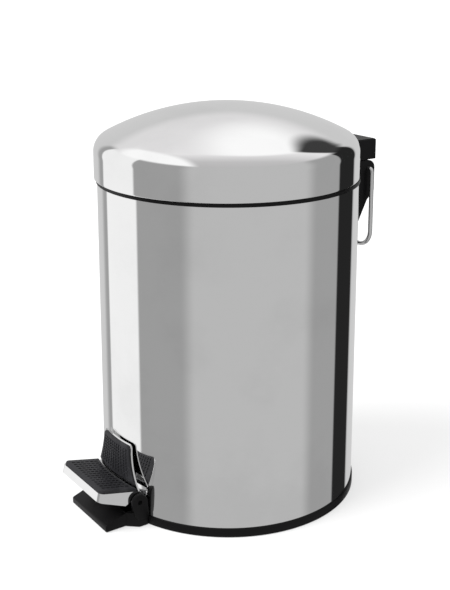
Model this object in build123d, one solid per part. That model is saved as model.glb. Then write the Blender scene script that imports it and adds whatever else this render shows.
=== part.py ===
from build123d import *
from math import asin, cos, degrees, hypot, radians, sin, sqrt
import os

# A round pedal bin: a steel shell on a plastic base, a domed steel lid on a rear
# hinge, a lift-out bucket, and a foot pedal that opens the lid by a lever and a rod.
# Millimetres. Z is up, the pedal points to -Y, the lid hinges at +Y, and the shell's
# axis is the Z axis with the floor at z = 0.

# --- general clearances
SEAT_GAP = 0.05      # between pieces that are pushed together and stay together
RUN_GAP = 0.05       # radial, between a pin and the hole that turns on it
MOVE_GAP = 0.6       # between pieces that sweep past each other
OVER = 1.0           # how far a cutting shape passes the surface it cuts
SCREW_REACH = 4.0    # how far a screw's tip stands past the wall it holds

# --- shell
SHELL_R = 84.0
SHEET = 0.6          # steel sheet of the shell and the lid
SHELL_TOP = 208.3    # the sheet's upper edge
SHELL_BOTTOM = 2.0   # the sheet's lower edge

# --- base moulding
BASE_R = SHELL_R + 0.8
BASE_GROUND = 0.3    # the moulding hangs this far above the floor, on its pads
BASE_BAND = 6.0      # top of the band that shows below the shell
BASE_SPIGOT = 14.0   # top of the ring inside the shell
SPIGOT_WALL = 1.85
FLOOR_UNDER = 1.8
FLOOR_WALL = 2.0
RIM_WIDTH = 6.0      # solid ring around the floor's edge
PAD_R = 6.0
PAD_CIRCLE_R = SHELL_R - 13.0
CENTRE_PAD_R = 10.0
TOE_PAD_DEPTH = 1.2

# --- foot of the base, under the pedal
FOOT_HALF = 23.0
FOOT_FRONT = SHELL_R + 23.0   # distance from the axis
FOOT_FRONT_TOP = 4.5
FOOT_REAR_TOP = 9.5
FOOT_EDGE = 0.8
TOE_PAD_Y = SHELL_R + 15.0
EAR_WALL = 2.9
EAR_R = 5.0
EAR_FOOT = SHELL_R + 9.0      # how far out the ear's root reaches

# --- rim ring on top of the shell
RIM_R = SHELL_R + 0.7
RIM_LIP = SHELL_TOP - 0.8      # lower edge of the outer lip
RIM_TOP = SHELL_TOP + 1.5
RIM_INNER_R = SHELL_R - 2.0
LEDGE_R = SHELL_R - 6.5
LEDGE_TOP = SHELL_TOP - 6.3
LEDGE_WALL = 2.0
REAR_NOTCH_HALF = 10.0   # way through for the crank and the rod

# --- bucket
BUCKET_TOP_R = SHELL_R - 15.0
BUCKET_BOTTOM_R = SHELL_R - 21.0
BUCKET_BOTTOM = 45.0
BUCKET_WALL = 1.6
BUCKET_HEEL = (9.0, 11.0)    # sloped lower edge, clear of the raised lever
FLANGE_WALL = 1.6
FLANGE_R = SHELL_R - 2.6
BUCKET_EAR_X = SHELL_R - 9.0
BUCKET_EAR_WALL = 2.6
BUCKET_EAR_R = 4.0
HANDLE_WIRE_R = 1.25
HANDLE_R = SHELL_R - 12.5
HANDLE_LIFT = 3.6    # pivot height above the flange
HANDLE_BEND = 2.5

# --- lid
LID_R = SHELL_R + 1.0
LID_FORWARD = 1.0    # the lid sits this far towards the pedal
LID_EDGE = RIM_TOP + 0.2
LID_SKIRT = 16.7     # straight height of the skirt
LID_SHOULDER = 12.0  # shoulder radius
LID_RISE = 46.6      # apex above the lower edge
HEM_WALL = 0.8
HEM_HEIGHT = 3.0
LINER_WALL = 2.45
LINER_HEIGHT = 8.8

# --- lid hinge
HINGE_Z = SHELL_TOP - 2.3
HINGE_PIN_R = 1.5
HINGE_PIN_HALF = 17.0
BLOCK_HALF = 21.0    # half width of the bracket and the cap
KNUCKLE_R = 5.4      # rounded rear top edge of the bracket
BRACKET_CHIN = HINGE_Z - 16.0
BRACKET_STEP = (6.0, 6.0)
BRACKET_TIP = HINGE_Z - 56.0
BRACKET_WALL = 2.5
CAVITY_TOP = HINGE_Z - 13.0
CAVITY_BOTTOM = HINGE_Z - 39.0
CAP_REAR = 6.0       # behind the hinge axis
CAP_UNDER = 6.0      # above the hinge axis
CAP_TOP = HINGE_Z + 20.0
CAP_WALL = 2.0
CAP_EDGE = 0.8
LUG_INNER = 6.2
LUG_OUTER = 10.8
LUG_R = 4.2
LUG_NECK = 3.2
LUG_SIDE_GAP = 0.3
LID_TRAVEL = 75.0    # degrees
BRACKET_SCREW_X = 13.0
BRACKET_SCREW_Z = (HINGE_Z - 46.0, HINGE_Z - 11.0)
LID_SCREW_X = 14.5
LID_SCREW_Z = HINGE_Z + 11.5
SCREW_R = 1.4
SCREW_HEAD_R = 2.8
SCREW_HEAD = 1.4
BACKPLATE_HALF = 18.0
BACKPLATE_WALL = 1.0
BACKPLATE_BOTTOM = HINGE_Z - 52.0
BACKPLATE_TOP = HINGE_Z - 6.5

# --- crank on the lid and push rod
CRANK_R = 28.0
CRANK_INSET = 4.2139     # the crank's pin stands this far inside the shell's face
CRANK_HALF = 1.5     # half thickness
CRANK_ARM = 6.2      # width of the arm
CRANK_EYE_R = 3.1
CRANK_TOP = HINGE_Z + 13.0
CRANK_TAIL_GAP = 3.0     # from the hinge axis to the crank's rear end
CRANK_RIVET_R = 1.5
CRANK_RIVET_GAP = 9.0    # from the hinge axis to the rivet
CRANK_RIVET_HEAD_R = 2.6
CRANK_RIVET_HEAD = 0.9
RIB_WALL = 2.6
ROD_R = 1.25
ROD_X = 4.2
ROD_BEND = 2.5
ROD_END = 4.6        # how far the bent ends pass the middle
ROD_LEAN = 5.8       # the foot stands this far forward of the head
ROD_FOOT_Z = 14.5
CLIP_R = 3.0
CLIP_WALL = 0.8
CLIP_GAP = 0.3

# --- wire bail on the bracket
BAIL_WIRE_R = 1.5
BAIL_X = 24.5
BAIL_DROP = 54.5
BAIL_CORNER = 11.0
BAIL_SHOULDER = 3.0
BAIL_END = 17.9

# --- pedal; it is drawn as it lies when pressed, and stands raised at rest
PIVOT_Y = -SHELL_R - 2.0
PIVOT_Z = 17.0
PEDAL_PIN_R = 1.5
PEDAL_HALF = 25.5
PEDAL_SHEET = 1.0
PEDAL_FRONT = -SHELL_R - 29.8
PEDAL_TOP = 23.0
PEDAL_CORNER = 3.5
PEDAL_REAR_R = SHELL_R + 4.5
FRONT_FLANGE = 5.5
SIDE_FLANGE = 9.0
SIDE_FLANGE_Y = -SHELL_R - 10.0    # where the side flange is deepest
FLANGE_LUG_R = 4.2
PAD_WALL = 1.8
PAD_MARGIN = 0.8
PAD_REAR_MARGIN = 2.5
PEDAL_SIDE_GAP = 0.5
GUARD_BOTTOM = 23.0
GUARD_TOP = 50.0
GUARD_BOTTOM_R = SHELL_R + 3.6    # inner radius at the bottom and at the top
GUARD_TOP_R = SHELL_R + 1.2
GUARD_BOTTOM_HALF = 25.0
GUARD_TOP_HALF = 16.5
GUARD_SAG = 2.2          # how far its sides curve in
GUARD_CORNER = 2.5
GUARD_PAD_BOTTOM = 27.4
LEVER_HALF = 7.0
LEVER_WALL = 2.5
LEVER_BEND = 4.0
LEVER_LOW = 8.0          # mid height of the long run above the floor
LEVER_NECK_Z = 20.2
LEVER_DROP_Y = (-SHELL_R + 7.0, -SHELL_R + 17.0)
LEVER_FRONT = -SHELL_R - 27.0
LEVER_RIVET_Y = (-SHELL_R - 22.5, -SHELL_R - 12.5)
LEVER_RIVET_R = 1.5
LEVER_RIVET_HEAD_R = 2.8
LEVER_RIVET_HEAD = 1.4
SLOT_Z = (12.5, 26.0)    # window in the shell for the lever
LUG_HALF = 1.0           # half thickness of the lever's rear lug
LUG_TOP = 18.8
LUG_MARGIN = 1.8
SLOT_PLAY = 0.75
TRACK_STEPS = 24     # places along the rod foot's path that size the slot

# --- worked out from the sizes above
SHELL_IN = SHELL_R - SHEET
SPIGOT_R = SHELL_IN - SEAT_GAP
RIM_SPIGOT_R = SHELL_IN - 2 * SEAT_GAP
FLANGE_TOP = LEDGE_TOP + FLANGE_WALL
HANDLE_Z = FLANGE_TOP + HANDLE_LIFT
EAR_IN = PEDAL_HALF + PEDAL_SIDE_GAP
EAR_OUT = EAR_IN + EAR_WALL
CAP_UNDER_Z = HINGE_Z + CAP_UNDER
CRANK_START = LID_TRAVEL / 2
CRANK_PIN_Y = SHELL_R - CRANK_INSET
HINGE_Y = CRANK_PIN_Y + CRANK_R * cos(radians(CRANK_START))
CAP_REAR_Y = HINGE_Y + CAP_REAR
CRANK_TAIL = HINGE_Y - CRANK_TAIL_GAP
CRANK_RIVET_Y = HINGE_Y - CRANK_RIVET_GAP
CRANK_PIN_Z = HINGE_Z - CRANK_R * sin(radians(CRANK_START))
ROD_LIFT = 2 * CRANK_R * sin(radians(CRANK_START))
ROD_FOOT_Y = CRANK_PIN_Y - ROD_LEAN
PEDAL_TRAVEL = asin(ROD_LIFT / (ROD_FOOT_Y - PIVOT_Y))      # radians
SHOULDER_Z = LID_EDGE + LID_SKIRT
APEX_Z = LID_EDGE + LID_RISE


def box(x, y, z):
    """Box between three pairs of limits."""
    size = [b - a for a, b in (x, y, z)]
    middle = [(a + b) / 2 for a, b in (x, y, z)]
    return Pos(*middle) * Box(*size)


def turned(outline):
    """Ring or disc with an (r, z) outline."""
    return revolve(Plane.XZ * make_face(Polyline(*outline, close=True)), Axis.Z)


def tube(inner, outer, bottom, top):
    return turned([(inner, bottom), (outer, bottom), (outer, top), (inner, top)])


def disc(radius, bottom, top, x=0.0, y=0.0):
    return Pos(x, y, (bottom + top) / 2) * Cylinder(radius, top - bottom)


def bar_x(radius, x, y, z):
    """Round bar along X between two limits."""
    return Pos(sum(x) / 2, y, z) * Rot(0, 90, 0) * Cylinder(radius, x[1] - x[0])


def bar_y(radius, x, y, z):
    """Round bar along Y between two limits."""
    return Pos(x, sum(y) / 2, z) * Rot(90, 0, 0) * Cylinder(radius, y[1] - y[0])


def plate(face, x):
    """Plate with a face drawn in (y, z), between two x limits."""
    return extrude(Plane.YZ.offset(x[0]) * face, x[1] - x[0])


def outline(*points):
    return make_face(Polyline(*points, close=True))


def spot(radius, y, z):
    """Round face in (y, z)."""
    return Pos(y, z) * Circle(radius)


def pair(build):
    """The same piece on both sides; build takes the side's sign."""
    return build(-1) + build(1)


def side(sign, inner, outer):
    """x limits of a wall on one side."""
    return tuple(sorted((sign * inner, sign * outer)))


def behind(radius, x):
    """y of a circle about the axis, x to one side of the middle."""
    return sqrt(radius ** 2 - x ** 2)


def raised(shape):
    """Turns the pedal's drawing, as pressed, to its place at rest."""
    tilt = Pos(0, PIVOT_Y, PIVOT_Z) * Rot(-degrees(PEDAL_TRAVEL), 0, 0)
    return tilt * Pos(0, -PIVOT_Y, -PIVOT_Z) * shape


def raised_point(y, z):
    """The same turn for one (y, z) point."""
    dy, dz = y - PIVOT_Y, z - PIVOT_Z
    c, s = cos(PEDAL_TRAVEL), sin(PEDAL_TRAVEL)
    return PIVOT_Y + dy * c + dz * s, PIVOT_Z - dy * s + dz * c


# --- body of the bin

def outer_shell():
    shell = tube(SHELL_IN, SHELL_R, SHELL_BOTTOM, SHELL_TOP)
    half = LEVER_HALF + 2 * MOVE_GAP
    shell -= box((-half, half), (-SHELL_R - OVER, 0), SLOT_Z)
    return shell - bracket_screw_holes()


def base_moulding():
    base = turned([
        (BASE_R - RIM_WIDTH, BASE_GROUND), (BASE_R, BASE_GROUND), (BASE_R, BASE_BAND),
        (SHELL_R + SEAT_GAP, BASE_BAND), (SHELL_R + SEAT_GAP, SHELL_BOTTOM), (SPIGOT_R, SHELL_BOTTOM),
        (SPIGOT_R, BASE_SPIGOT), (SPIGOT_R - SPIGOT_WALL, BASE_SPIGOT),
        (SPIGOT_R - SPIGOT_WALL, FLOOR_UNDER + FLOOR_WALL), (0, FLOOR_UNDER + FLOOR_WALL),
        (0, FLOOR_UNDER), (BASE_R - RIM_WIDTH, FLOOR_UNDER)])
    outside = foot() + pair(ear)
    outside -= disc(SHELL_R + SEAT_GAP, 0, BASE_R)
    base += outside - disc(BASE_R - RIM_WIDTH / 2, 0, SHELL_BOTTOM)
    base -= disc(PAD_R, 0, BASE_GROUND + TOE_PAD_DEPTH, 0, -TOE_PAD_Y)
    return base - bar_x(PEDAL_PIN_R, (-EAR_OUT, EAR_OUT), PIVOT_Y, PIVOT_Z)


def foot():
    """Wedge that stands out under the pedal, with a broader root between the ears."""
    inner = -behind(SHELL_R, EAR_OUT) + OVER
    wedge = plate(outline((-FOOT_FRONT, BASE_GROUND), (inner, BASE_GROUND), (inner, FOOT_REAR_TOP),
                          (-EAR_FOOT, FOOT_REAR_TOP), (-FOOT_FRONT, FOOT_FRONT_TOP)),
                  (-FOOT_HALF, FOOT_HALF))
    corners = wedge.edges().filter_by(Axis.Z).group_by(Axis.Y)[0]
    wedge = chamfer(corners, FOOT_EDGE)
    top_front = wedge.edges().filter_by(Axis.X).group_by(Axis.Y)[0].sort_by(Axis.Z)[-1]
    wedge = chamfer(top_front, FOOT_EDGE)
    root = box((-EAR_OUT, EAR_OUT), (-EAR_FOOT + MOVE_GAP, inner), (BASE_GROUND, FOOT_REAR_TOP))
    return wedge + root


def ear(sign):
    """Rounded cheek that holds one end of the pedal pin."""
    inner = -behind(SHELL_R, EAR_OUT) + OVER
    face = outline((-EAR_FOOT, BASE_GROUND), (inner, BASE_GROUND), (inner, PIVOT_Z + EAR_R),
                   (PIVOT_Y, PIVOT_Z + EAR_R), (PIVOT_Y - EAR_R, PIVOT_Z), (-EAR_FOOT, BASE_BAND))
    face += spot(EAR_R, PIVOT_Y, PIVOT_Z)
    return plate(face, side(sign, EAR_IN, EAR_OUT))


def anti_slip_pads():
    pads = disc(CENTRE_PAD_R, 0, FLOOR_UNDER)
    for place in PolarLocations(PAD_CIRCLE_R, 4, start_angle=45):
        pads += place * disc(PAD_R, 0, FLOOR_UNDER)
    return pads + disc(PAD_R, 0, BASE_GROUND + TOE_PAD_DEPTH, 0, -TOE_PAD_Y)


def rim_ring():
    ring = turned([
        (RIM_R, RIM_LIP), (RIM_R, RIM_TOP), (RIM_INNER_R, RIM_TOP), (RIM_INNER_R, LEDGE_TOP),
        (LEDGE_R, LEDGE_TOP), (LEDGE_R, LEDGE_TOP - LEDGE_WALL), (RIM_SPIGOT_R, LEDGE_TOP - LEDGE_WALL),
        (RIM_SPIGOT_R, SHELL_TOP + SEAT_GAP), (SHELL_R + SEAT_GAP, SHELL_TOP + SEAT_GAP),
        (SHELL_R + SEAT_GAP, RIM_LIP)])
    notch = box((-REAR_NOTCH_HALF, REAR_NOTCH_HALF), (0, RIM_R), (0, RIM_TOP + OVER))
    return ring - (notch & disc(RIM_SPIGOT_R, 0, RIM_TOP + OVER))


def inner_bucket():
    heel_r, heel_z = BUCKET_BOTTOM_R - BUCKET_HEEL[0], BUCKET_BOTTOM + BUCKET_HEEL[1]
    bucket = turned([
        (0, BUCKET_BOTTOM), (heel_r, BUCKET_BOTTOM), (BUCKET_BOTTOM_R, heel_z), (BUCKET_TOP_R, LEDGE_TOP),
        (FLANGE_R, LEDGE_TOP), (FLANGE_R, FLANGE_TOP), (BUCKET_TOP_R - BUCKET_WALL, FLANGE_TOP),
        (BUCKET_BOTTOM_R - BUCKET_WALL, heel_z), (heel_r - BUCKET_WALL / 2, BUCKET_BOTTOM + BUCKET_WALL),
        (0, BUCKET_BOTTOM + BUCKET_WALL)])
    bucket -= box((-REAR_NOTCH_HALF, REAR_NOTCH_HALF), (BUCKET_TOP_R + MOVE_GAP, RIM_R),
                  (LEDGE_TOP - OVER, FLANGE_TOP + OVER))
    return bucket + pair(bucket_ear)


def bucket_ear(sign):
    """Upright lug on the flange with the hole that the handle turns in."""
    root = FLANGE_TOP - FLANGE_WALL / 2
    face = outline((-BUCKET_EAR_R, root), (BUCKET_EAR_R, root),
                   (BUCKET_EAR_R, HANDLE_Z), (-BUCKET_EAR_R, HANDLE_Z))
    face += spot(BUCKET_EAR_R, 0, HANDLE_Z)
    face -= spot(HANDLE_WIRE_R + RUN_GAP, 0, HANDLE_Z)
    return plate(face, side(sign, BUCKET_EAR_X, BUCKET_EAR_X + BUCKET_EAR_WALL))


def bucket_handle():
    """Wire half ring that lies on the flange, with its ends turned out into the ears."""
    end = BUCKET_EAR_X + BUCKET_EAR_WALL + HANDLE_WIRE_R
    bend = HANDLE_BEND
    turn = bend * (1 - cos(radians(45)))
    path = (Line((end, 0), (HANDLE_R + bend, 0))
            + ThreePointArc((HANDLE_R + bend, 0), (HANDLE_R + turn, -turn), (HANDLE_R, -bend))
            + ThreePointArc((HANDLE_R, -bend), (0, -HANDLE_R - bend), (-HANDLE_R, -bend))
            + ThreePointArc((-HANDLE_R, -bend), (-HANDLE_R - turn, -turn), (-HANDLE_R - bend, 0))
            + Line((-HANDLE_R - bend, 0), (-end, 0)))
    return swept(Pos(0, 0, HANDLE_Z) * path, HANDLE_WIRE_R)


def swept(path, radius):
    """Round wire along a path of tangent lines and arcs."""
    start = Plane(origin=path @ 0, z_dir=path % 0)
    return sweep(start * Circle(radius), path=path)


# --- lid and its hinge

def dome(inset):
    """Everything under the lid's outer surface moved in by inset."""
    radius, fillet_r, apex = LID_R - inset, LID_SHOULDER - inset, APEX_Z - inset
    centre_r, rise = LID_R - LID_SHOULDER, APEX_Z - SHOULDER_Z
    crown = (centre_r ** 2 + rise ** 2 - LID_SHOULDER ** 2) / (2 * (rise - LID_SHOULDER))
    crown_z = APEX_Z - crown
    reach = hypot(centre_r, SHOULDER_Z - crown_z)
    across, up = centre_r / reach, (SHOULDER_Z - crown_z) / reach
    meet = (centre_r + fillet_r * across, SHOULDER_Z + fillet_r * up)
    half = radians(90) - asin(up)
    middle = ((crown - inset) * sin(half / 2), crown_z + (crown - inset) * cos(half / 2))
    lean = asin(up) / 2
    knee = (centre_r + fillet_r * cos(lean), SHOULDER_Z + fillet_r * sin(lean))
    side_line = Polyline((0, apex), (0, LID_EDGE), (radius, LID_EDGE), (radius, SHOULDER_Z))
    profile = side_line + ThreePointArc((radius, SHOULDER_Z), knee, meet)
    profile += ThreePointArc(meet, middle, (0, apex))
    return Pos(0, -LID_FORWARD, 0) * revolve(Plane.XZ * make_face(profile), Axis.Z)


def lid_way(half):
    """Way through the lid's rear skirt for the crank."""
    return box((-half, half), (0, LID_R + SCREW_REACH), (LID_EDGE - OVER, CRANK_TOP + MOVE_GAP))


def lid_dome():
    lid = dome(0) - dome(SHEET)
    inner = LID_R - SHEET
    lid += Pos(0, -LID_FORWARD, 0) * tube(inner - HEM_WALL, inner, LID_EDGE, LID_EDGE + HEM_HEIGHT)
    return lid - lid_way(CRANK_HALF + MOVE_GAP) - pair(lid_screw_hole)


def liner_inner():
    return LID_R - SHEET - SEAT_GAP - LINER_WALL


def lid_liner_ring():
    bottom = LID_EDGE + HEM_HEIGHT + SEAT_GAP
    ring = tube(liner_inner(), liner_inner() + LINER_WALL, bottom, bottom + LINER_HEIGHT)
    ring = Pos(0, -LID_FORWARD, 0) * ring
    return ring - lid_way(CRANK_HALF + MOVE_GAP) - pair(lid_screw_hole)


def lid_screw_head_y():
    return behind(liner_inner(), LID_SCREW_X + SCREW_HEAD_R) - LID_FORWARD


def lid_screw_end_y():
    return LID_R + LINER_WALL + SCREW_REACH


def lid_screw_hole(sign):
    return bar_y(SCREW_R, sign * LID_SCREW_X, (lid_screw_head_y(), lid_screw_end_y()), LID_SCREW_Z)


def lid_screw(sign):
    head = bar_y(SCREW_HEAD_R, sign * LID_SCREW_X,
                 (lid_screw_head_y() - SCREW_HEAD, lid_screw_head_y()), LID_SCREW_Z)
    return head + lid_screw_hole(sign)


def lid_screws():
    return pair(lid_screw)


def lid_hinge_cap():
    """Hollow block behind the lid's skirt; two lugs reach down to the hinge pin."""
    front = behind(LID_R, BLOCK_HALF) - 2 * OVER
    cap = box((-BLOCK_HALF, BLOCK_HALF), (front, CAP_REAR_Y), (CAP_UNDER_Z, CAP_TOP))
    cap = chamfer(cap.edges().group_by(Axis.Z)[-1].filter_by(Axis.Y), CAP_EDGE)
    cap = chamfer(cap.edges().filter_by(Axis.X).group_by(Axis.Y)[-1].sort_by(Axis.Z)[-1], CAP_EDGE)
    lid_wall = Pos(0, -LID_FORWARD, 0) * disc(LID_R + SEAT_GAP + CAP_WALL, 0, APEX_Z)
    inner = BLOCK_HALF - CAP_WALL
    hollow = box((-inner, inner), (0, CAP_REAR_Y - CAP_WALL), (0, CAP_TOP - CAP_WALL))
    cap -= hollow - lid_wall
    cap += pair(cap_lug) + pair(cap_rib) + pair(cap_boss)
    cap -= Pos(0, -LID_FORWARD, 0) * disc(LID_R + SEAT_GAP, 0, APEX_Z)
    cap -= lid_way(CRANK_HALF + SEAT_GAP) + crank_rivet_shank() + pair(lid_screw_hole)
    return cap - bar_x(HINGE_PIN_R + RUN_GAP, (-BLOCK_HALF, BLOCK_HALF), HINGE_Y, HINGE_Z)


def cap_lug(sign):
    front, rear, top = HINGE_Y - LUG_NECK, HINGE_Y + LUG_NECK, CAP_TOP - CAP_WALL / 2
    neck = outline((front, HINGE_Z), (rear, HINGE_Z), (rear, top), (front, top))
    return plate(neck + spot(LUG_R, HINGE_Y, HINGE_Z), side(sign, LUG_INNER, LUG_OUTER))


def cap_rib(sign):
    """Cheek beside the crank."""
    inner = CRANK_HALF + 2 * SEAT_GAP
    start = LID_R - LID_FORWARD
    return box(side(sign, inner, inner + RIB_WALL), (start, CRANK_TAIL + OVER),
               (CAP_UNDER_Z + OVER, CAP_TOP - CAP_WALL / 2))


def cap_boss(sign):
    start = behind(LID_R, LID_SCREW_X) - LID_FORWARD
    return bar_y(2 * SCREW_R, sign * LID_SCREW_X, (start, lid_screw_end_y()), LID_SCREW_Z)


def crank_rivet_shank():
    reach = CRANK_HALF + 2 * SEAT_GAP + RIB_WALL
    return bar_x(CRANK_RIVET_R, (-reach, reach), CRANK_RIVET_Y, (CAP_UNDER_Z + CRANK_TOP) / 2)


def crank_rivet():
    reach = CRANK_HALF + 2 * SEAT_GAP + RIB_WALL
    rivet = crank_rivet_shank()
    for sign in (-1, 1):
        rivet += bar_x(CRANK_RIVET_HEAD_R, side(sign, reach, reach + CRANK_RIVET_HEAD),
                       CRANK_RIVET_Y, (CAP_UNDER_Z + CRANK_TOP) / 2)
    return rivet


def lid_crank():
    """Steel plate that reaches over the rim and down inside it to the rod."""
    inner = SHELL_IN - MOVE_GAP - CRANK_ARM
    outer = SHELL_IN - MOVE_GAP
    arm = outline((inner, CRANK_PIN_Z), (outer, CRANK_PIN_Z), (outer, CAP_UNDER_Z),
                  (CRANK_TAIL, CAP_UNDER_Z), (CRANK_TAIL, CRANK_TOP), (inner, CRANK_TOP))
    arm += spot(CRANK_EYE_R, CRANK_PIN_Y, CRANK_PIN_Z)
    arm -= spot(ROD_R + RUN_GAP, CRANK_PIN_Y, CRANK_PIN_Z)
    crank = plate(arm, (-CRANK_HALF, CRANK_HALF))
    return crank - crank_rivet_shank()


def push_rod():
    """Wire with both ends bent across: one in the crank's eye, one in the lever's slot."""
    points = [(-ROD_END, ROD_FOOT_Y, ROD_FOOT_Z), (ROD_X, ROD_FOOT_Y, ROD_FOOT_Z),
              (ROD_X, CRANK_PIN_Y, CRANK_PIN_Z), (-ROD_END, CRANK_PIN_Y, CRANK_PIN_Z)]
    return swept(FilletPolyline(*points, radius=ROD_BEND), ROD_R)


def rod_clips():
    """Push-on washers that keep the bent ends in."""
    clips = []
    for y, z, near in ((CRANK_PIN_Y, CRANK_PIN_Z, CRANK_HALF), (ROD_FOOT_Y, ROD_FOOT_Z, LUG_HALF)):
        start = near + CLIP_GAP
        clip = bar_x(CLIP_R, side(-1, start, start + CLIP_WALL), y, z)
        clips.append(clip - bar_x(ROD_R, side(-1, start - OVER, start + CLIP_WALL + OVER), y, z))
    return clips[0] + clips[1]


def hinge_bracket():
    """Bracket on the shell's rear wall: a solid head with the pin, hollow below."""
    rear, step = HINGE_Y + KNUCKLE_R, BRACKET_STEP
    chin = BRACKET_CHIN - step[1]
    top = HINGE_Z + KNUCKLE_R
    start = behind(SHELL_R, BLOCK_HALF) - 2 * OVER
    face = outline((start, BRACKET_TIP), (SHELL_R, BRACKET_TIP), (rear - step[0], chin),
                   (rear, BRACKET_CHIN), (rear, HINGE_Z), (HINGE_Y, HINGE_Z), (HINGE_Y, top), (start, top))
    face += spot(KNUCKLE_R, HINGE_Y, HINGE_Z)
    block = plate(face, (-BLOCK_HALF, BLOCK_HALF))
    wall = BRACKET_WALL
    hollow = outline((0, CAVITY_BOTTOM), (behind(SHELL_R, 0) + 2 * wall, CAVITY_BOTTOM),
                     (rear - step[0] - wall, chin + wall / 2), (rear - wall, BRACKET_CHIN + wall / 2),
                     (rear - wall, CAVITY_TOP), (0, CAVITY_TOP))
    inner = BLOCK_HALF - wall
    block -= plate(hollow, (-inner, inner))
    block -= pair(lug_pocket) + disc(SHELL_R + SEAT_GAP, 0, APEX_Z) + bracket_screw_holes()
    block -= disc(RIM_R + SEAT_GAP, RIM_LIP - SEAT_GAP, APEX_Z)
    block -= disc(LID_R + LID_FORWARD + MOVE_GAP, RIM_TOP - MOVE_GAP, APEX_Z)
    block -= bar_x(HINGE_PIN_R, (-HINGE_PIN_HALF, HINGE_PIN_HALF), HINGE_Y, HINGE_Z)
    return block - pair(bail_bore)


def lug_pocket(sign):
    low = LUG_R + MOVE_GAP
    x = side(sign, LUG_INNER - LUG_SIDE_GAP, LUG_OUTER + LUG_SIDE_GAP)
    return box(x, (HINGE_Y - low, CAP_REAR_Y + OVER), (HINGE_Z - low, CAP_UNDER_Z + OVER))


def bail_bore(sign):
    x = side(sign, BAIL_END - CLIP_GAP, BLOCK_HALF + OVER)
    return bar_x(BAIL_WIRE_R + RUN_GAP, x, HINGE_Y, HINGE_Z)


def hinge_pin():
    return bar_x(HINGE_PIN_R, (-HINGE_PIN_HALF, HINGE_PIN_HALF), HINGE_Y, HINGE_Z)


def bracket_backplate():
    """Curved steel strip inside the shell that the bracket's screws pull against."""
    outer = SHELL_IN - SEAT_GAP
    ring = tube(outer - BACKPLATE_WALL, outer, BACKPLATE_BOTTOM, BACKPLATE_TOP)
    strip = ring & box((-BACKPLATE_HALF, BACKPLATE_HALF), (0, SHELL_R), (0, APEX_Z))
    half = CRANK_HALF + 2 * MOVE_GAP
    strip -= box((-half, half), (0, SHELL_R), (CRANK_PIN_Z - 2 * CRANK_EYE_R, APEX_Z))
    return strip - bracket_screw_holes()


def bracket_screw_sites():
    return [(sign * BRACKET_SCREW_X, z) for sign in (-1, 1) for z in BRACKET_SCREW_Z]


def bracket_screw_head_y():
    return behind(SHELL_IN - SEAT_GAP - BACKPLATE_WALL, BRACKET_SCREW_X + SCREW_HEAD_R)


def bracket_screw_holes():
    start = bracket_screw_head_y()
    end = SHELL_R + SCREW_REACH
    holes = [bar_y(SCREW_R, x, (start, end), z) for x, z in bracket_screw_sites()]
    return sum(holes[1:], holes[0])


def bracket_screws():
    start = bracket_screw_head_y()
    screws = bracket_screw_holes()
    for x, z in bracket_screw_sites():
        screws += bar_y(SCREW_HEAD_R, x, (start - SCREW_HEAD, start), z)
    return screws


def wire_bail():
    """Square-cornered wire loop that hangs from the bracket."""
    bottom = HINGE_Z - BAIL_DROP
    points = [(BAIL_END, HINGE_Y, HINGE_Z), (BAIL_X, HINGE_Y, HINGE_Z), (BAIL_X, HINGE_Y, bottom),
              (-BAIL_X, HINGE_Y, bottom), (-BAIL_X, HINGE_Y, HINGE_Z), (-BAIL_END, HINGE_Y, HINGE_Z)]
    radii = [BAIL_SHOULDER, BAIL_CORNER, BAIL_CORNER, BAIL_SHOULDER]
    return swept(FilletPolyline(*points, radius=radii), BAIL_WIRE_R)


# --- pedal, drawn as pressed and then raised

def tread_outline(margin, rear_r):
    """Top view of the tread: rounded front corners, rear edge round the shell."""
    half, front = PEDAL_HALF - margin, PEDAL_FRONT + margin
    size = (2 * half, -front)
    face = Pos(0, front / 2) * Rectangle(*size)
    corners = face.vertices().group_by(Axis.Y)[0]
    return fillet(corners, PEDAL_CORNER - margin) - Circle(rear_r)


def tread_slab(margin, rear_r, bottom, top):
    return Pos(0, 0, bottom) * extrude(tread_outline(margin, rear_r), top - bottom)


def pedal_plate():
    """Stamped tray with lugs for the pin, and the toe guard that rises from its rear edge."""
    under = PEDAL_TOP - PEDAL_SHEET
    rear = PIVOT_Y + OVER
    profile = outline((PEDAL_FRONT, PEDAL_TOP), (PEDAL_FRONT, PEDAL_TOP - FRONT_FLANGE),
                      (SIDE_FLANGE_Y, PEDAL_TOP - SIDE_FLANGE), (PIVOT_Y - FLANGE_LUG_R, PIVOT_Z),
                      (PIVOT_Y, PIVOT_Z), (PIVOT_Y + FLANGE_LUG_R, PIVOT_Z), (rear, PEDAL_TOP))
    tray = plate(profile, (-PEDAL_HALF, PEDAL_HALF))
    tray &= Pos(0, 0, PIVOT_Z - SIDE_FLANGE) * extrude(tread_outline(0, SHELL_R / 2), 2 * SIDE_FLANGE)
    tray -= extrude(tread_outline(PEDAL_SHEET, SHELL_R / 2), under)
    top = tread_slab(0, PEDAL_REAR_R, under, PEDAL_TOP)
    tray = tray - box((-PEDAL_HALF, PEDAL_HALF), (PEDAL_FRONT, 0), (under, PEDAL_TOP + OVER)) + top
    for sign in (-1, 1):
        wall = side(sign, PEDAL_HALF - PEDAL_SHEET, PEDAL_HALF)
        tray += plate(spot(FLANGE_LUG_R, PIVOT_Y, PIVOT_Z), wall)
    tray -= bar_x(PEDAL_PIN_R + RUN_GAP, (-EAR_OUT, EAR_OUT), PIVOT_Y, PIVOT_Z)
    for y in LEVER_RIVET_Y:
        tray -= disc(LEVER_RIVET_R, 0, PEDAL_TOP + OVER, 0, y)
    return raised(tray) + guard(0, PEDAL_SHEET, GUARD_BOTTOM, 0)


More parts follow.
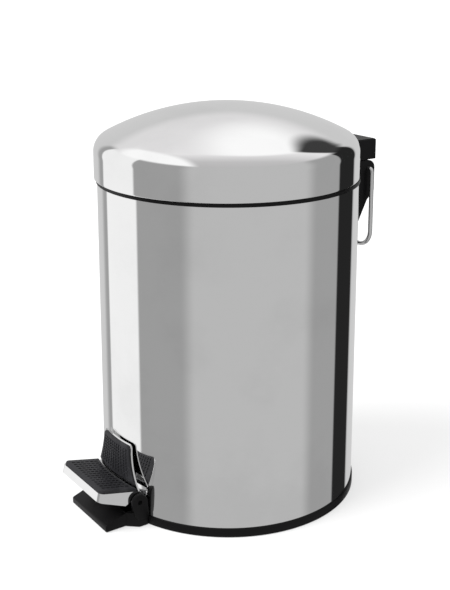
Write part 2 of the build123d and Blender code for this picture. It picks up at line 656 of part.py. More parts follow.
def guard(inner, outer, bottom, margin):
    """Part of a steep cone round the shell, cut to the guard's outline."""
    low, high = GUARD_BOTTOM_R, GUARD_TOP_R
    cone = turned([(low + inner, GUARD_BOTTOM), (low + outer, GUARD_BOTTOM),
                   (high + outer, GUARD_TOP), (high + inner, GUARD_TOP)])
    foot_half, top_half = GUARD_BOTTOM_HALF - margin, GUARD_TOP_HALF - margin
    top = GUARD_TOP - margin
    middle = ((foot_half + top_half) / 2 - GUARD_SAG, (GUARD_BOTTOM + top) / 2)
    right = ThreePointArc((foot_half, GUARD_BOTTOM), middle, (top_half, top))
    left = ThreePointArc((-top_half, top), (-middle[0], middle[1]), (-foot_half, GUARD_BOTTOM))
    upper = Line((top_half, top), (-top_half, top))
    lower = Line((-foot_half, GUARD_BOTTOM), (foot_half, GUARD_BOTTOM))
    face = make_face(right + left + upper + lower)
    face = fillet(face.vertices().group_by(Axis.Y)[-1], GUARD_CORNER)
    shape = cone & extrude(Plane.XZ * face, BASE_R + EAR_FOOT)
    return shape & box((-FOOT_FRONT, FOOT_FRONT), (-FOOT_FRONT, 0), (bottom, GUARD_TOP))


def tread_pad():
    pad = tread_slab(PAD_MARGIN, PEDAL_REAR_R + PAD_REAR_MARGIN, PEDAL_TOP, PEDAL_TOP + PAD_WALL)
    return raised(pad)


def guard_pad():
    return guard(PEDAL_SHEET, PEDAL_SHEET + PAD_WALL, GUARD_PAD_BOTTOM, PAD_MARGIN)


def lever_run():
    """Mid line of the lever at rest, from under the tread to the rear wall."""
    under = PEDAL_TOP - PEDAL_SHEET - LEVER_WALL / 2
    front = raised_point(LEVER_FRONT, under)
    bend = raised_point(LEVER_RIVET_Y[1] + LEVER_RIVET_HEAD_R + OVER, under)
    tail = ROD_FOOT_Y + LEVER_BEND
    return [front, bend, (-SHELL_R, LEVER_NECK_Z), (LEVER_DROP_Y[0], LEVER_NECK_Z),
            (LEVER_DROP_Y[1], LEVER_LOW), (tail, LEVER_LOW)]


def foot_in_lever(angle):
    """Where the rod's foot lies in the lever's own drawing when the lid stands at angle."""
    swing = radians(angle - CRANK_START)
    y = HINGE_Y - CRANK_R * cos(swing) - ROD_LEAN - PIVOT_Y
    z = ROD_FOOT_Z + CRANK_R * (sin(swing) + sin(radians(CRANK_START))) - PIVOT_Z
    turn = PEDAL_TRAVEL * angle / LID_TRAVEL
    return PIVOT_Y + y * cos(turn) + z * sin(turn), PIVOT_Z - y * sin(turn) + z * cos(turn)


def rod_slot():
    """Limits of the rod foot's path in the lever, as ((y, y), (z, z))."""
    steps = range(TRACK_STEPS + 1)
    track = [foot_in_lever(LID_TRAVEL * step / TRACK_STEPS) for step in steps]
    return tuple((min(axis), max(axis)) for axis in zip(*track))


def pedal_lever():
    run = [Vector(0, y, z) for y, z in lever_run()]
    path = FilletPolyline(*run, radius=LEVER_BEND)
    start = Plane(origin=path @ 0, x_dir=(1, 0, 0), z_dir=path % 0)
    strip = sweep(start * Rectangle(2 * LEVER_HALF, LEVER_WALL), path=path)
    (y0, y1), (z0, z1) = rod_slot()
    reach = ROD_R + SLOT_PLAY
    margin = reach + LUG_MARGIN
    lug = box((-LUG_HALF, LUG_HALF), (y0 - margin, y1 + margin), (LEVER_LOW, LUG_TOP))
    slot_z = ((z0 + z1) / 2, (z1 - z0) / 2 + reach)
    slot = box((-LEVER_HALF, LEVER_HALF), (y0, y1), (slot_z[0] - slot_z[1], slot_z[0] + slot_z[1]))
    for y in (y0, y1):
        slot += bar_x(slot_z[1], (-LEVER_HALF, LEVER_HALF), y, slot_z[0])
    lever = strip + lug - slot
    return lever - raised(lever_rivet_shanks())


def lever_rivet_shanks():
    bottom = PEDAL_TOP - PEDAL_SHEET - LEVER_WALL
    shanks = [disc(LEVER_RIVET_R, bottom, PEDAL_TOP, 0, y) for y in LEVER_RIVET_Y]
    return shanks[0] + shanks[1]


def lever_rivets():
    bottom = PEDAL_TOP - PEDAL_SHEET - LEVER_WALL
    rivets = lever_rivet_shanks()
    for y in LEVER_RIVET_Y:
        rivets += disc(LEVER_RIVET_HEAD_R, bottom - LEVER_RIVET_HEAD, bottom, 0, y)
    return raised(rivets)


def pedal_pin():
    return bar_x(PEDAL_PIN_R, (-EAR_OUT, EAR_OUT), PIVOT_Y, PIVOT_Z)


PIECES = [outer_shell, base_moulding, anti_slip_pads, rim_ring, inner_bucket, bucket_handle,
          lid_dome, lid_liner_ring, lid_screws, lid_hinge_cap, crank_rivet, lid_crank, push_rod, rod_clips,
          hinge_bracket, hinge_pin, bracket_backplate, bracket_screws, wire_bail,
          pedal_plate, tread_pad, guard_pad, pedal_lever, lever_rivets, pedal_pin]

os.makedirs("parts", exist_ok=True)
for piece in PIECES:
    export_step(piece(), f"parts/{piece.__name__}.step")
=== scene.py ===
import math
import bpy
import bmesh
from mathutils import Matrix, Vector


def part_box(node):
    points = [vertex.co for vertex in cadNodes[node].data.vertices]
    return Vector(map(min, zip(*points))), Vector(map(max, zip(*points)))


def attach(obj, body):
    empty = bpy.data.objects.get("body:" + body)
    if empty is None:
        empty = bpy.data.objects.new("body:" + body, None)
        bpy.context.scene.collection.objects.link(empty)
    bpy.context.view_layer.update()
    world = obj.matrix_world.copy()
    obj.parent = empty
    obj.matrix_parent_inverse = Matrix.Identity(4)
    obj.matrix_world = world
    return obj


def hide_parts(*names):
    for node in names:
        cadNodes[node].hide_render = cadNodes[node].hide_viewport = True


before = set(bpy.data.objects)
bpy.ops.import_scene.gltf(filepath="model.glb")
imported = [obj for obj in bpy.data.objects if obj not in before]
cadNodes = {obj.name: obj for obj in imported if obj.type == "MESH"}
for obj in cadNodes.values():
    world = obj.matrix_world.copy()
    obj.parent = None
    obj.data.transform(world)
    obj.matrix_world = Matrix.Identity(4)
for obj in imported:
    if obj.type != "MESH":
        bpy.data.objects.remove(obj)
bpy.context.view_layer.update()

scene = bpy.context.scene
mm = 0.001
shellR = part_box("outer_shell")[1].x


# shader maths

class Wire:  # one node socket, so that sums on it add Math nodes
    def __init__(self, tree, socket=None):
        self.tree, self.socket = tree, socket

    def make(self, kind, settings=None, values=None, out=0):
        node = self.tree.nodes.new("ShaderNode" + kind)
        for key, value in (settings or {}).items():
            if key == "stops":
                setStops(node.color_ramp, value)
            else:
                setattr(node, key, value)
        for key, value in (values or {}).items():
            if isinstance(value, Wire):
                self.tree.links.new(value.socket, node.inputs[key])
            else:
                node.inputs[key].default_value = value
        return Wire(self.tree, node.outputs[out] if node.outputs else None)

    def sum(self, operation, first, second=0.0):
        return self.make("Math", {"operation": operation}, {0: first, 1: second})

    def mix(self, low, high):  # colours, by this value
        return self.make("Mix", {"data_type": "RGBA"}, {0: self, 6: low, 7: high}, out=2)

    def soften(self, start, end):  # 0 at start, 1 at end, smooth between
        return self.make("MapRange", {"interpolation_type": "SMOOTHSTEP"},
                         {0: self, 1: start, 2: end, 3: 0.0, 4: 1.0})

    def __add__(self, other):
        return self.sum("ADD", self, other)

    def __radd__(self, other):
        return self.sum("ADD", other, self)

    def __sub__(self, other):
        return self.sum("SUBTRACT", self, other)

    def __rsub__(self, other):
        return self.sum("SUBTRACT", other, self)

    def __mul__(self, other):
        return self.sum("MULTIPLY", self, other)

    def __rmul__(self, other):
        return self.sum("MULTIPLY", other, self)


warmth = (1.004, 0.994, 1.0)     # the studio's greys lean a little this way


def setStops(ramp, stops):
    while len(ramp.elements) > 1:
        ramp.elements.remove(ramp.elements[-1])
    ramp.elements[0].position = stops[0][0]
    for place, tone in stops:
        element = ramp.elements[0] if place == stops[0][0] else ramp.elements.new(place)
        element.color = (tone * warmth[0], tone * warmth[1], tone * warmth[2], 1.0)


def newMaterial(name, recipe):
    material = bpy.data.materials.new(name)
    material.use_nodes = True
    material.node_tree.nodes.clear()
    at = Wire(material.node_tree)
    at.make("OutputMaterial", values={"Surface": recipe(at)})
    return material


def grey(tone):
    return (tone, tone, tone, 1.0)


# camera

cameraLook = {"azimuth": 55.5, "distance": 8.0, "height": 4.117, "aside": 0.0235,   # in shell radii
              "pitch": 13.18, "lens": 64.9, "shift": -0.15}


def plan(degrees):  # level direction; 0 points to -Y and 90 to +X
    return Vector((math.sin(math.radians(degrees)), -math.cos(math.radians(degrees)), 0))


def makeCamera(look):
    camera = bpy.data.cameras.new("camera")
    camera.lens, camera.sensor_width, camera.shift_y = look["lens"], 36, look["shift"]
    camera.clip_start, camera.clip_end = 0.01, 50
    item = bpy.data.objects.new("camera", camera)
    right = plan(look["azimuth"] + 90)
    item.location = (plan(look["azimuth"]) * look["distance"] - right * look["aside"]
                     + Vector((0, 0, look["height"]))) * shellR
    item.rotation_euler = (math.radians(90 - look["pitch"]), 0, math.radians(look["azimuth"]))
    scene.collection.objects.link(item)
    scene.camera = item
    return item


camera = makeCamera(cameraLook)
scene.view_settings.view_transform = "Standard"
scene.view_settings.look = "None"
print("camera placed")


# studio: white floor, one soft lamp, and plain panels that only gloss sees

studioLook = {"floorHalf": 11, "floor": 0.34, "floorGlow": 0.585, "room": 1.0}


def makeFloor(look):
    bm = bmesh.new()
    bmesh.ops.create_grid(bm, x_segments=1, y_segments=1, size=look["floorHalf"])
    floor = stageObject(bm, "floor")
    floor.visible_glossy = False     # the steel mirrors the panels instead
    floor.data.materials.append(newMaterial("floorPaper", lambda at: at.make("AddShader", values={
        0: at.make("BsdfDiffuse", values={"Color": grey(look["floor"])}),
        1: at.make("Emission", values={"Color": grey(1.0), "Strength": look["floorGlow"]})})))


def stageObject(bm, name):
    mesh = bpy.data.meshes.new(name)
    bm.to_mesh(mesh)
    bm.free()
    item = bpy.data.objects.new(name, mesh)
    scene.collection.objects.link(item)
    return item


# degrees: walls turn from 0 at the camera, minus to its left; cards stand at (aside, rise)
roomLook = {
    "backdrop": 0.38, "wallFrom": 0.40, "wallTo": 0.55,
    "ceiling": [(0, 0.5), (15, 0.75), (70, 0.9), (120, 0.6), (180, 0.5)],
    "walls": [
        {"from": -220, "to": -140, "soft": 10, "light": 0.65},
        {"from": -130, "to": -85, "soft": 3, "light": 1.0},
        {"from": -35, "to": 75, "soft": 15, "light": 0.55},
        {"from": 110, "to": 138, "soft": 3, "light": 0.02},
        {"from": 140, "to": 220, "soft": 5, "light": 0.65},
    ],
    "cards": [
        {"at": (10, 60), "size": (15, 20), "soft": 0.5, "light": 1.1, "round": True},
        {"at": (-60, 110), "size": (35, 60), "soft": 0.15, "light": 1.1, "round": False},
        {"at": (35, 45), "size": (18, 22), "soft": 0.15, "light": 0.05, "round": True},
    ],
}


def makeRoom(look, room):  # white for light, a plain soft studio for gloss
    world = bpy.data.worlds.new("room")
    scene.world = world
    world.use_nodes = True
    world.node_tree.nodes.clear()
    at = Wire(world.node_tree)
    ahead = at.make("Mapping", values={0: at.make("TexCoord", out="Generated"),
                                       2: (0, 0, -math.radians(cameraLook["azimuth"]))})
    x = at.make("SeparateXYZ", values={0: ahead}, out="X")
    y = at.make("SeparateXYZ", values={0: ahead}, out="Y")
    z = at.make("SeparateXYZ", values={0: ahead}, out="Z")
    degrees = 180 / math.pi
    rise = at.sum("ARCTAN2", z, y) * degrees      # 0 behind the object, 90 overhead, 180 at the camera
    aside = at.sum("ARCSINE", x) * degrees
    turn = at.sum("ARCTAN2", x, 0 - y) * degrees
    tone = at.make("ValToRGB", {"stops": [(place / 180, share) for place, share in look["ceiling"]]},
                   {0: rise * (1 / 180)})
    for card in look["cards"]:
        dx = (aside - card["at"][0]) * (1 / card["size"][0])
        dy = (rise - card["at"][1]) * (1 / card["size"][1])
        if card["round"]:
            away = at.sum("SQRT", dx * dx + dy * dy)
        else:
            away = at.sum("MAXIMUM", at.sum("ABSOLUTE", dx), at.sum("ABSOLUTE", dy))
        tone = (1 - away.soften(1 - card["soft"], 1 + card["soft"])).mix(tone, grey(card["light"]))
    walls = grey(look["backdrop"])
    for wall in look["walls"]:
        half = wall["soft"] / 2
        cover = turn.soften(wall["from"] - half, wall["from"] + half) \
            * (1 - turn.soften(wall["to"] - half, wall["to"] + half))
        walls = cover.mix(walls, grey(wall["light"]))
    tone = (1 - z.soften(look["wallFrom"], look["wallTo"])).mix(tone, walls)
    gloss = at.make("LightPath", out="Is Glossy Ray")
    at.make("OutputWorld", values={"Surface": at.make("Background", values={
        "Color": gloss.mix(grey(room), tone)})})


lampLook = {"strength": 3.4, "angle": 34, "aside": -68, "lift": 52}     # degrees; only soft light and shadow


def makeLamp(look):
    lamp = bpy.data.lights.new("softLamp", "SUN")
    lamp.energy, lamp.angle = look["strength"], math.radians(look["angle"])
    item = bpy.data.objects.new("softLamp", lamp)
    turn = math.radians(cameraLook["azimuth"] + look["aside"])
    item.rotation_euler = (math.radians(90 - look["lift"]), 0, turn)
    item.visible_glossy = False
    scene.collection.objects.link(item)


makeFloor(studioLook)
makeRoom(roomLook, studioLook["room"])
makeLamp(lampLook)
print("studio lit")


# finishes

steelLook = {"clean": 0.87, "worn": 0.80, "roughness": 0.02, "smear": 0.035, "hairline": 0.02}


def polishedSteel(at):
    place = at.make("TexCoord", out="Object")
    rolled = at.make("Mapping", values={0: place, 3: (30, 30, 2600)})
    hairlines = at.make("TexNoise", values={"Vector": rolled, "Scale": 1.0, "Detail": 4.0, "Roughness": 0.65})
    smears = at.make("TexNoise", values={"Vector": place, "Scale": 19.0, "Detail": 5.0, "Roughness": 0.55})
    wiped = smears.soften(0.42, 0.72)
    return at.make("BsdfPrincipled", values={
        "Base Color": (wiped * 0.7 + hairlines * 0.3).mix(grey(steelLook["clean"]), grey(steelLook["worn"])),
        "Metallic": 1.0,
        "Roughness": steelLook["roughness"] + wiped * steelLook["smear"] + hairlines * steelLook["hairline"],
        "Normal": at.make("Bump", values={"Strength": 0.06, "Distance": 0.00002, "Height": hairlines})})


plasticLook = {"dark": (0.0015, 0.0014, 0.0016, 1), "pale": (0.0045, 0.0043, 0.0046, 1), "roughness": 0.27,
               "gloss": 0.15}


def blackPlastic(at):
    place = at.make("TexCoord", out="Object")
    spark = at.make("TexNoise", values={"Vector": place, "Scale": 1500.0, "Detail": 3.0, "Roughness": 0.6})
    pits = at.make("TexVoronoi", values={"Vector": place, "Scale": 1150.0})
    cloud = at.make("TexNoise", values={"Vector": place, "Scale": 30.0, "Detail": 4.0})
    return at.make("BsdfPrincipled", values={
        "Base Color": (cloud * 0.6 + spark * 0.4).mix(plasticLook["dark"], plasticLook["pale"]),
        "Roughness": plasticLook["roughness"] + spark * 0.16 + cloud * 0.10,
        "Specular IOR Level": plasticLook["gloss"],
        "Normal": at.make("Bump", values={"Strength": 0.35, "Distance": 0.00006,
                                          "Height": pits * 0.6 + spark * 0.4})})


rubberLook = {"dark": (0.012, 0.012, 0.014, 1), "scuffed": (0.032, 0.032, 0.035, 1), "roughness": 0.50,
              "gloss": 0.3}


def softRubber(at):
    place = at.make("TexCoord", out="Object")
    grain = at.make("TexNoise", values={"Vector": place, "Scale": 2400.0, "Detail": 3.0})
    scuffs = at.make("TexNoise", values={"Vector": place, "Scale": 90.0, "Detail": 5.0, "Roughness": 0.65})
    scuffed = scuffs.soften(0.45, 0.75)
    return at.make("BsdfPrincipled", values={
        "Base Color": (scuffed * 0.75 + grain * 0.25).mix(rubberLook["dark"], rubberLook["scuffed"]),
        "Roughness": rubberLook["roughness"] + scuffed * 0.14 + grain * 0.08,
        "Specular IOR Level": rubberLook["gloss"],
        "Normal": at.make("Bump", values={"Strength": 0.4, "Distance": 0.00005, "Height": grain})})


bucketLook = {"dark": (0.040, 0.040, 0.044, 1), "pale": (0.062, 0.062, 0.067, 1), "roughness": 0.36}


def bucketPlastic(at):
    place = at.make("TexCoord", out="Object")
    drawn = at.make("TexNoise", values={"Vector": at.make("Mapping", values={0: place, 3: (900, 900, 14)}),
                                        "Scale": 1.0, "Detail": 3.0})
    cloud = at.make("TexNoise", values={"Vector": place, "Scale": 26.0, "Detail": 5.0})
    return at.make("BsdfPrincipled", values={
        "Base Color": (cloud * 0.7 + drawn * 0.3).mix(bucketLook["dark"], bucketLook["pale"]),
        "Roughness": bucketLook["roughness"] + cloud * 0.14 + drawn * 0.08,
        "Normal": at.make("Bump", values={"Strength": 0.25, "Distance": 0.00008, "Height": drawn})})


wireLook = {"bright": 0.80, "drawn": 0.62, "roughness": 0.13}


def steelWire(at):
    place = at.make("TexCoord", out="Object")
    along = at.make("Mapping", values={0: place, 3: (1700, 1700, 90)})
    pulled = at.make("TexNoise", values={"Vector": along,
                                         "Scale": 1.0, "Detail": 3.0})
    dull = at.make("TexNoise", values={"Vector": place, "Scale": 70.0, "Detail": 4.0})
    return at.make("BsdfPrincipled", values={
        "Base Color": (pulled * 0.6 + dull * 0.4).mix(grey(wireLook["bright"]), grey(wireLook["drawn"])),
        "Metallic": 1.0,
        "Roughness": wireLook["roughness"] + pulled * 0.12 + dull * 0.08,
        "Normal": at.make("Bump", values={"Strength": 0.25, "Distance": 0.00003, "Height": pulled})})


zincLook = {"bright": (0.60, 0.61, 0.62, 1), "dull": (0.40, 0.405, 0.41, 1), "roughness": 0.26}


def plainSteel(at):
    place = at.make("TexCoord", out="Object")
    spangle = at.make("TexVoronoi", values={"Vector": place, "Scale": 420.0}, out="Color")
    flake = at.make("SeparateXYZ", values={0: spangle}, out="X")
    stain = at.make("TexNoise", values={"Vector": place, "Scale": 55.0, "Detail": 5.0, "Roughness": 0.6})
    return at.make("BsdfPrincipled", values={
        "Base Color": (flake * 0.35 + stain * 0.65).mix(zincLook["bright"], zincLook["dull"]),
        "Metallic": 1.0,
        "Roughness": zincLook["roughness"] + flake * 0.10 + stain * 0.12,
        "Normal": at.make("Bump", values={"Strength": 0.2, "Distance": 0.00004, "Height": stain})})


recipes = {"polished_steel": polishedSteel, "black_plastic": blackPlastic, "soft_rubber": softRubber,
           "bucket_plastic": bucketPlastic, "steel_wire": steelWire, "plain_steel": plainSteel}
finishes = {slot: newMaterial(recipe.__name__, recipe) for slot, recipe in recipes.items()}
slotOf = {node: next(name for name in recipes if item.data.materials[0].name.startswith(name))
          for node, item in cadNodes.items()}
for node, item in cadNodes.items():
    item.data.materials[0] = finishes[slotOf[node]]
print("finishes made")


# modelling helpers

def finishPiece(bm, name, body, node, sharp=32):
    bmesh.ops.remove_doubles(bm, verts=bm.verts, dist=0.002 * mm)
    bmesh.ops.recalc_face_normals(bm, faces=bm.faces)
    mesh = bpy.data.meshes.new(name)
    bm.to_mesh(mesh)
    bm.free()
    mesh.shade_smooth()
    mesh.set_sharp_from_angle(angle=math.radians(sharp))
    piece = bpy.data.objects.new(name, mesh)
    scene.collection.objects.link(piece)
    mesh.materials.append(finishes[slotOf[node]])
    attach(piece, body)
    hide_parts(node)
    return piece


def lastOf(made):
    return next(v for v in made if isinstance(v, bmesh.types.BMVert))


def runTo(bm, vertex, x, z):  # straight run of an outline in XZ
    end = bmesh.ops.extrude_vert_indiv(bm, verts=[vertex])["verts"][0]
    end.co = Vector((x, 0, z))
    return end


def bendRound(bm, vertex, x, z, turn, steps):  # arc of an outline in XZ
    made = bmesh.ops.spin(bm, geom=[vertex], cent=(x, 0, z), axis=(0, 1, 0),
                          angle=math.radians(turn), steps=steps)
    return lastOf(made["geom_last"])


def spinRound(bm, steps, y=0.0):
    bmesh.ops.translate(bm, verts=bm.verts, vec=(0, y, 0))
    bmesh.ops.spin(bm, geom=bm.verts[:] + bm.edges[:], cent=(0, y, 0), axis=(0, 0, 1),
                   angle=2 * math.pi, steps=steps, use_merge=True)
    bmesh.ops.remove_doubles(bm, verts=bm.verts, dist=0.002 * mm)


def softenEdges(bm, width, angle=35, segments=2, chosen=lambda edge: True):
    bm.normal_update()
    sharp = [e for e in bm.edges if len(e.link_faces) == 2
             and e.calc_face_angle() > math.radians(angle) and chosen(e)]
    bmesh.ops.bevel(bm, geom=sharp, offset=width, offset_type="OFFSET", segments=segments, profile=0.5,
                    affect="EDGES", clamp_overlap=True, material=-1)


# shell

shellLook = {"steps": 256, "sheet": 0.6 * mm, "windowFrom": 12.5 * mm, "windowTo": 26.0 * mm,
             "windowHalf": 8.24 * mm}


def makeShell(look):
    low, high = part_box("outer_shell")
    bm = bmesh.new()
    end = bmesh.ops.create_vert(bm, co=(high.x, 0, low.z))["vert"][0]
    for z in (look["windowFrom"], look["windowTo"], high.z * 0.5, high.z):
        end = runTo(bm, end, high.x, z)
    spinRound(bm, look["steps"])
    window = [f for f in bm.faces if f.calc_center_median().y < 0
              and all(abs(v.co.x) < look["windowHalf"] for v in f.verts)
              and look["windowFrom"] < f.calc_center_median().z < look["windowTo"]]
    bmesh.ops.delete(bm, geom=window, context="FACES")
    bmesh.ops.recalc_face_normals(bm, faces=bm.faces)
    bmesh.ops.solidify(bm, geom=bm.faces[:], thickness=look["sheet"])
    for v in bm.verts:   # the new wall always goes inside
        radius = math.hypot(v.co.x, v.co.y)
        if radius > high.x + 0.1 * mm:
            v.co.xy = v.co.xy * ((high.x - look["sheet"]) / radius)
    finishPiece(bm, "shell", "bin_body", "outer_shell")


makeShell(shellLook)


# lid skin: crown, shoulder, skirt and rolled hem

lidLook = {"steps": 256, "sheet": 0.6 * mm, "shoulder": 12.0 * mm, "skirt": 16.7 * mm, "roll": 0.4 * mm,
           "hold": 0.5 * mm, "hemDepth": 1.4 * mm, "hemHeight": 3.0 * mm,
           "crownSteps": 40, "shoulderSteps": 18}


def lidOutline(bm, start, radius, shoulderZ, apexZ, bend, look, down):
    middle = radius - bend      # where the shoulder's centre stands
    rise = apexZ - shoulderZ
    crown = (middle ** 2 + rise ** 2 - bend ** 2) / (2 * (rise - bend))
    half = math.degrees(math.atan2(middle, shoulderZ - (apexZ - crown)))
    if down:
        end = bendRound(bm, start, 0, apexZ - crown, half, look["crownSteps"])
        return bendRound(bm, end, middle, shoulderZ, 90 - half, look["shoulderSteps"])
    end = bendRound(bm, start, middle, shoulderZ, half - 90, look["shoulderSteps"])
    return bendRound(bm, end, 0, apexZ - crown, -half, look["crownSteps"])


def makeLid(look):
    low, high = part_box("lid_dome")
    radius, forward = high.x, (low.y + high.y) / 2
    shoulderZ, sheet, roll = low.z + look["skirt"], look["sheet"], look["roll"]
    bm = bmesh.new()
    apex = bmesh.ops.create_vert(bm, co=(0, 0, high.z))["vert"][0]
    end = lidOutline(bm, apex, radius, shoulderZ, high.z, look["shoulder"], look, True)
    # two extra loops keep the skirt straight
    for z in (shoulderZ - look["hold"], low.z + roll + look["hold"], low.z + roll):
        end = runTo(bm, end, radius, z)
    end = bendRound(bm, end, radius - roll, low.z + roll, 90, 4)
    inner = radius - look["hemDepth"]
    end = runTo(bm, end, inner + roll, low.z)
    end = bendRound(bm, end, inner + roll, low.z + roll, 90, 4)
    end = runTo(bm, end, inner, low.z + look["hemHeight"])
    end = runTo(bm, end, radius - sheet, low.z + look["hemHeight"])
    end = runTo(bm, end, radius - sheet, shoulderZ)
    lidOutline(bm, end, radius - sheet, shoulderZ, high.z - sheet, look["shoulder"] - sheet, look, False)
    spinRound(bm, look["steps"], forward)
    finishPiece(bm, "lidSkin", "lid", "lid_dome")


makeLid(lidLook)
print("steel pieces made")


# base: band round the shell's foot, floor, toe wedge and the two cheeks of the pedal's pin

baseLook = {"steps": 192, "ground": 0.3, "band": 6.0, "ringInner": 78.8, "spigot": 14.0, "spigotOut": 83.35,
            "spigotIn": 81.5, "groove": 84.05, "grooveFloor": 2.0, "floorFrom": 1.8, "floorTo": 3.8,
            "edge": 0.45,
            "toeFront": -107.0, "toeHalf": 23.0, "toeLow": 4.5, "toeHigh": 9.5, "toeBreak": -93.0,
            "toeRoot": -80.0, "toeEdge": 0.8, "cheekIn": 26.0, "cheekOut": 28.9, "flare": -86.5,
            "flareGap": 0.25, "cheekEdge": 0.5, "cheekRound": 4.85,
            "cheek": [(-87, 5), (-79.5, 5), (-80, 12), (-81, 22), (-91, 22), (-91, 14), (-89, 8)]}


# an outline in mm drawn out along X or Z
def slab(points, fromTo, across, edge, rounded=(), width=1.0, segments=6):
    place = (lambda a, b, c: (c, a, b)) if across else (lambda a, b, c: (a, b, c))
    bm = bmesh.new()
    corners = [bmesh.ops.create_vert(bm, co=Vector(place(a, b, fromTo[0])) * mm)["vert"][0]
               for a, b in points]
    bmesh.ops.contextual_create(bm, geom=corners)
    if rounded:
        bmesh.ops.bevel(bm, geom=[corners[index] for index in rounded], offset=width * mm,
                        offset_type="OFFSET", segments=segments, profile=0.5, affect="VERTICES",
                        clamp_overlap=True, material=-1)
    made = bmesh.ops.extrude_face_region(bm, geom=bm.faces[:])["geom"]
    bmesh.ops.translate(bm, verts=[v for v in made if isinstance(v, bmesh.types.BMVert)],
                        vec=Vector(place(0, 0, fromTo[1] - fromTo[0])) * mm)
    bmesh.ops.recalc_face_normals(bm, faces=bm.faces)
    softenEdges(bm, edge * mm, angle=28, segments=3)
    return bm


def join(bm, other):  # adds another bmesh's shape
    mesh = bpy.data.meshes.new("part")
    other.to_mesh(mesh)
    other.free()
    bm.from_mesh(mesh)
    bpy.data.meshes.remove(mesh)


def makeBase(look):
    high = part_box("base_moulding")[1]
    ground, root = look["ground"], look["toeRoot"]
    bm = bmesh.new()
    outline = [(0, look["floorFrom"]), (look["ringInner"], look["floorFrom"]), (look["ringInner"], ground),
               (high.x / mm, ground), (high.x / mm, look["band"]), (look["groove"], look["band"]),
               (look["groove"], look["grooveFloor"]), (look["spigotOut"], look["grooveFloor"]),
               (look["spigotOut"], look["spigot"]), (look["spigotIn"], look["spigot"]),
               (look["spigotIn"], look["floorTo"]), (0, look["floorTo"])]
    end = bmesh.ops.create_vert(bm, co=(0, 0, outline[0][1] * mm))["vert"][0]
    for x, z in outline[1:]:
        end = runTo(bm, end, x * mm, z * mm)
    spinRound(bm, look["steps"])
    bmesh.ops.recalc_face_normals(bm, faces=bm.faces)
    softenEdges(bm, look["edge"] * mm, segments=3,
                chosen=lambda e: all(v.co.xy.length > (high.x - 0.1 * mm) for v in e.verts))
    toe = [(look["toeFront"], ground), (root, ground), (root, look["toeHigh"]),
           (look["toeBreak"], look["toeHigh"]), (look["toeFront"], look["toeLow"])]
    join(bm, slab(toe, (-look["toeHalf"], look["toeHalf"]), True, look["toeEdge"]))
    wide = look["cheekOut"] - look["flareGap"]      # clear of the cheek's face
    flare = [(look["toeHalf"], look["toeBreak"]), (wide, look["flare"]), (wide, root)]
    flare = flare + [(-x, y) for x, y in reversed(flare)]
    join(bm, slab(flare, (ground, look["toeHigh"]), False, look["cheekEdge"]))
    for side in (-1, 1):
        join(bm, slab(look["cheek"], (side * look["cheekIn"], side * look["cheekOut"]), True,
                      look["cheekEdge"], (3, 4), look["cheekRound"]))
    finishPiece(bm, "baseMoulding", "bin_body", "base_moulding")


makeBase(baseLook)


# pedal: laid out flat, as pressed, then turned up to its place

pedalLook = {"pivotY": -86.0, "pivotZ": 17.0, "raised": 12.3032}
pedalPivot = Matrix.Translation(Vector((0, pedalLook["pivotY"], pedalLook["pivotZ"])) * mm)
pedalRaise = pedalPivot @ Matrix.Rotation(math.radians(-pedalLook["raised"]), 4, "X") @ pedalPivot.inverted()


def cellEdges(start, end, count, share, border):  # edges of land and cell in turn, after those of the border
    pitch = (end - start) / count
    middles = [start + (i + 0.5) * pitch for i in range(count)]
    cells = [edge for middle in middles for edge in (middle - pitch * share / 2, middle + pitch * share / 2)]
    return list(border[0]) + cells + list(border[1])


def padGrid(acrossEdges, upEdges, place, border):  # a top skin with its cells' faces picked out
    bm = bmesh.new()
    columns, rows = len(acrossEdges) - 1, len(upEdges) - 1
    bmesh.ops.create_grid(bm, x_segments=columns, y_segments=rows, size=0.5)
    where = {v: (round((v.co.x + 0.5) * columns), round((v.co.y + 0.5) * rows)) for v in bm.verts}
    cells = []
    for face in bm.faces:
        column = min(where[v][0] for v in face.verts) - border[0]
        row = min(where[v][1] for v in face.verts) - border[1]
        if 0 <= column < columns - 2 * border[0] and 0 <= row < rows - 2 * border[1]:
            if column % 2 == 0 and row % 2 == 0:
                cells.append(face)
    for v, (i, j) in where.items():
        v.co = Vector(place(acrossEdges[i], upEdges[j]))
    return bm, cells


treadLook = {"half": 24.7, "front": -113.0, "rearRound": 91.0, "corner": 2.7, "low": 23.0, "top": 24.8,
             "rows": 14, "rowShare": 0.38, "cells": 6, "cellShare": 0.80, "rowsHalf": 21.9,
             "lip": (0.12, 0.5, 1.2), "end": 0.03, "from": 0.11, "to": 0.92,
             "wall": 0.06, "sink": 0.55, "chamfer": 0.5}


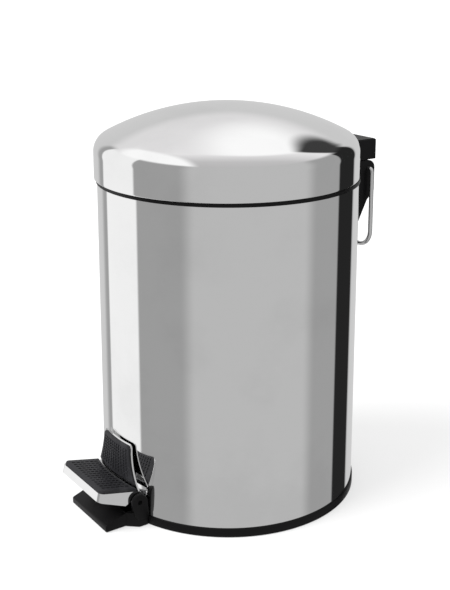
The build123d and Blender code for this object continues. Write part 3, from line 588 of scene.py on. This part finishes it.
def makeTread(look):
    half, corner = look["half"], look["corner"]
    border = [half] + [half - lip for lip in look["lip"]] + [half - corner]
    across = cellEdges(-look["rowsHalf"], look["rowsHalf"], look["rows"], look["rowShare"],
                       ([-x for x in border], border[::-1]))
    up = cellEdges(look["from"], look["to"], look["cells"], look["cellShare"],
                   ([0, look["end"]], [1 - look["end"], 1]))

    def place(x, share):
        inside = max(0.0, abs(x) - half + corner)
        front = look["front"] + corner - math.sqrt(max(0.0, corner ** 2 - inside ** 2))
        rear = -math.sqrt(look["rearRound"] ** 2 - x ** 2)
        worn = look["chamfer"] if share in (0, 1) or abs(x) == half else 0
        return x, front + (rear - front) * share, look["top"] - worn

    bm, cells = padGrid(across, up, place, (len(border), 2))
    skin = bm.faces[:]
    bmesh.ops.recalc_face_normals(bm, faces=skin)
    made = bmesh.ops.extrude_face_region(bm, geom=skin)["geom"]
    for v in made:
        if isinstance(v, bmesh.types.BMVert):
            v.co.z = look["low"]
    cells = [f for f in cells if f.is_valid]
    bmesh.ops.recalc_face_normals(bm, faces=bm.faces)
    bmesh.ops.inset_individual(bm, faces=cells, thickness=look["wall"], depth=-look["sink"])
    bmesh.ops.scale(bm, verts=bm.verts, vec=(mm, mm, mm))
    bmesh.ops.transform(bm, matrix=pedalRaise, verts=bm.verts)
    finishPiece(bm, "treadPad", "pedal", "tread_pad", sharp=40)


makeTread(treadLook)

guardLook = {"low": 27.4, "high": 49.2, "coneLow": 23.0, "coneHigh": 50.0, "coneLowR": 87.6, "coneHighR": 85.2,
             "skin": 1.0, "deck": 2.25, "chamfer": 0.45, "halfLow": 25.0, "halfHigh": 16.5, "margin": 0.8,
             "sag": 2.2, "corner": 2.5, "lip": (0.4, 1.2), "sideLip": (0.975, 0.94),
             "rows": 9, "rowShare": 0.66, "columns": 11, "columnShare": 0.68, "border": 0.12,
             "from": 30.0, "to": 47.2, "wall": 0.15, "rise": 0.53}


def makeGuard(look):
    (outer, inner), low, high = look["sideLip"], look["low"], look["high"]
    across = cellEdges(-1 + look["border"], 1 - look["border"], look["columns"], look["columnShare"],
                       ([-1, -outer, -inner], [inner, outer, 1]))
    up = cellEdges(look["from"], look["to"], look["rows"], look["rowShare"],
                   ([low] + [low + lip for lip in look["lip"]],
                    [high - lip for lip in reversed(look["lip"])] + [high]))

    def place(share, z):  # across the pad, then round the cone that the steel behind follows
        along = (z - look["coneLow"]) / (look["coneHigh"] - look["coneLow"])
        half = (look["halfLow"] + (look["halfHigh"] - look["halfLow"]) * along
                - 4 * look["sag"] * along * (1 - along) - look["margin"])
        inside = max(0.0, z - look["high"] + look["corner"])
        half -= look["corner"] - math.sqrt(max(0.0, look["corner"] ** 2 - inside ** 2))
        worn = look["chamfer"] if abs(share) == 1 or z in (look["low"], look["high"]) else 0
        radius = look["coneLowR"] + (look["coneHighR"] - look["coneLowR"]) * along + look["deck"] - worn
        x = share * half
        return x, -math.sqrt(radius ** 2 - x ** 2), z

    bm, cells = padGrid(across, up, place, (3, 3))
    made = bmesh.ops.extrude_face_region(bm, geom=bm.faces[:])["geom"]
    for v in made:
        if isinstance(v, bmesh.types.BMVert):
            radius = v.co.xy.length
            along = (v.co.z - look["coneLow"]) / (look["coneHigh"] - look["coneLow"])
            inner = look["coneLowR"] + (look["coneHighR"] - look["coneLowR"]) * along + look["skin"]
            v.co.xy = v.co.xy * (inner / radius)
    bmesh.ops.recalc_face_normals(bm, faces=bm.faces)
    cells = [f for f in cells if f.is_valid]
    bmesh.ops.inset_individual(bm, faces=cells, thickness=look["wall"], depth=look["rise"])
    bmesh.ops.scale(bm, verts=bm.verts, vec=(mm, mm, mm))
    finishPiece(bm, "guardPad", "pedal", "guard_pad", sharp=40)


makeGuard(guardLook)
print("plastic and rubber pieces made")
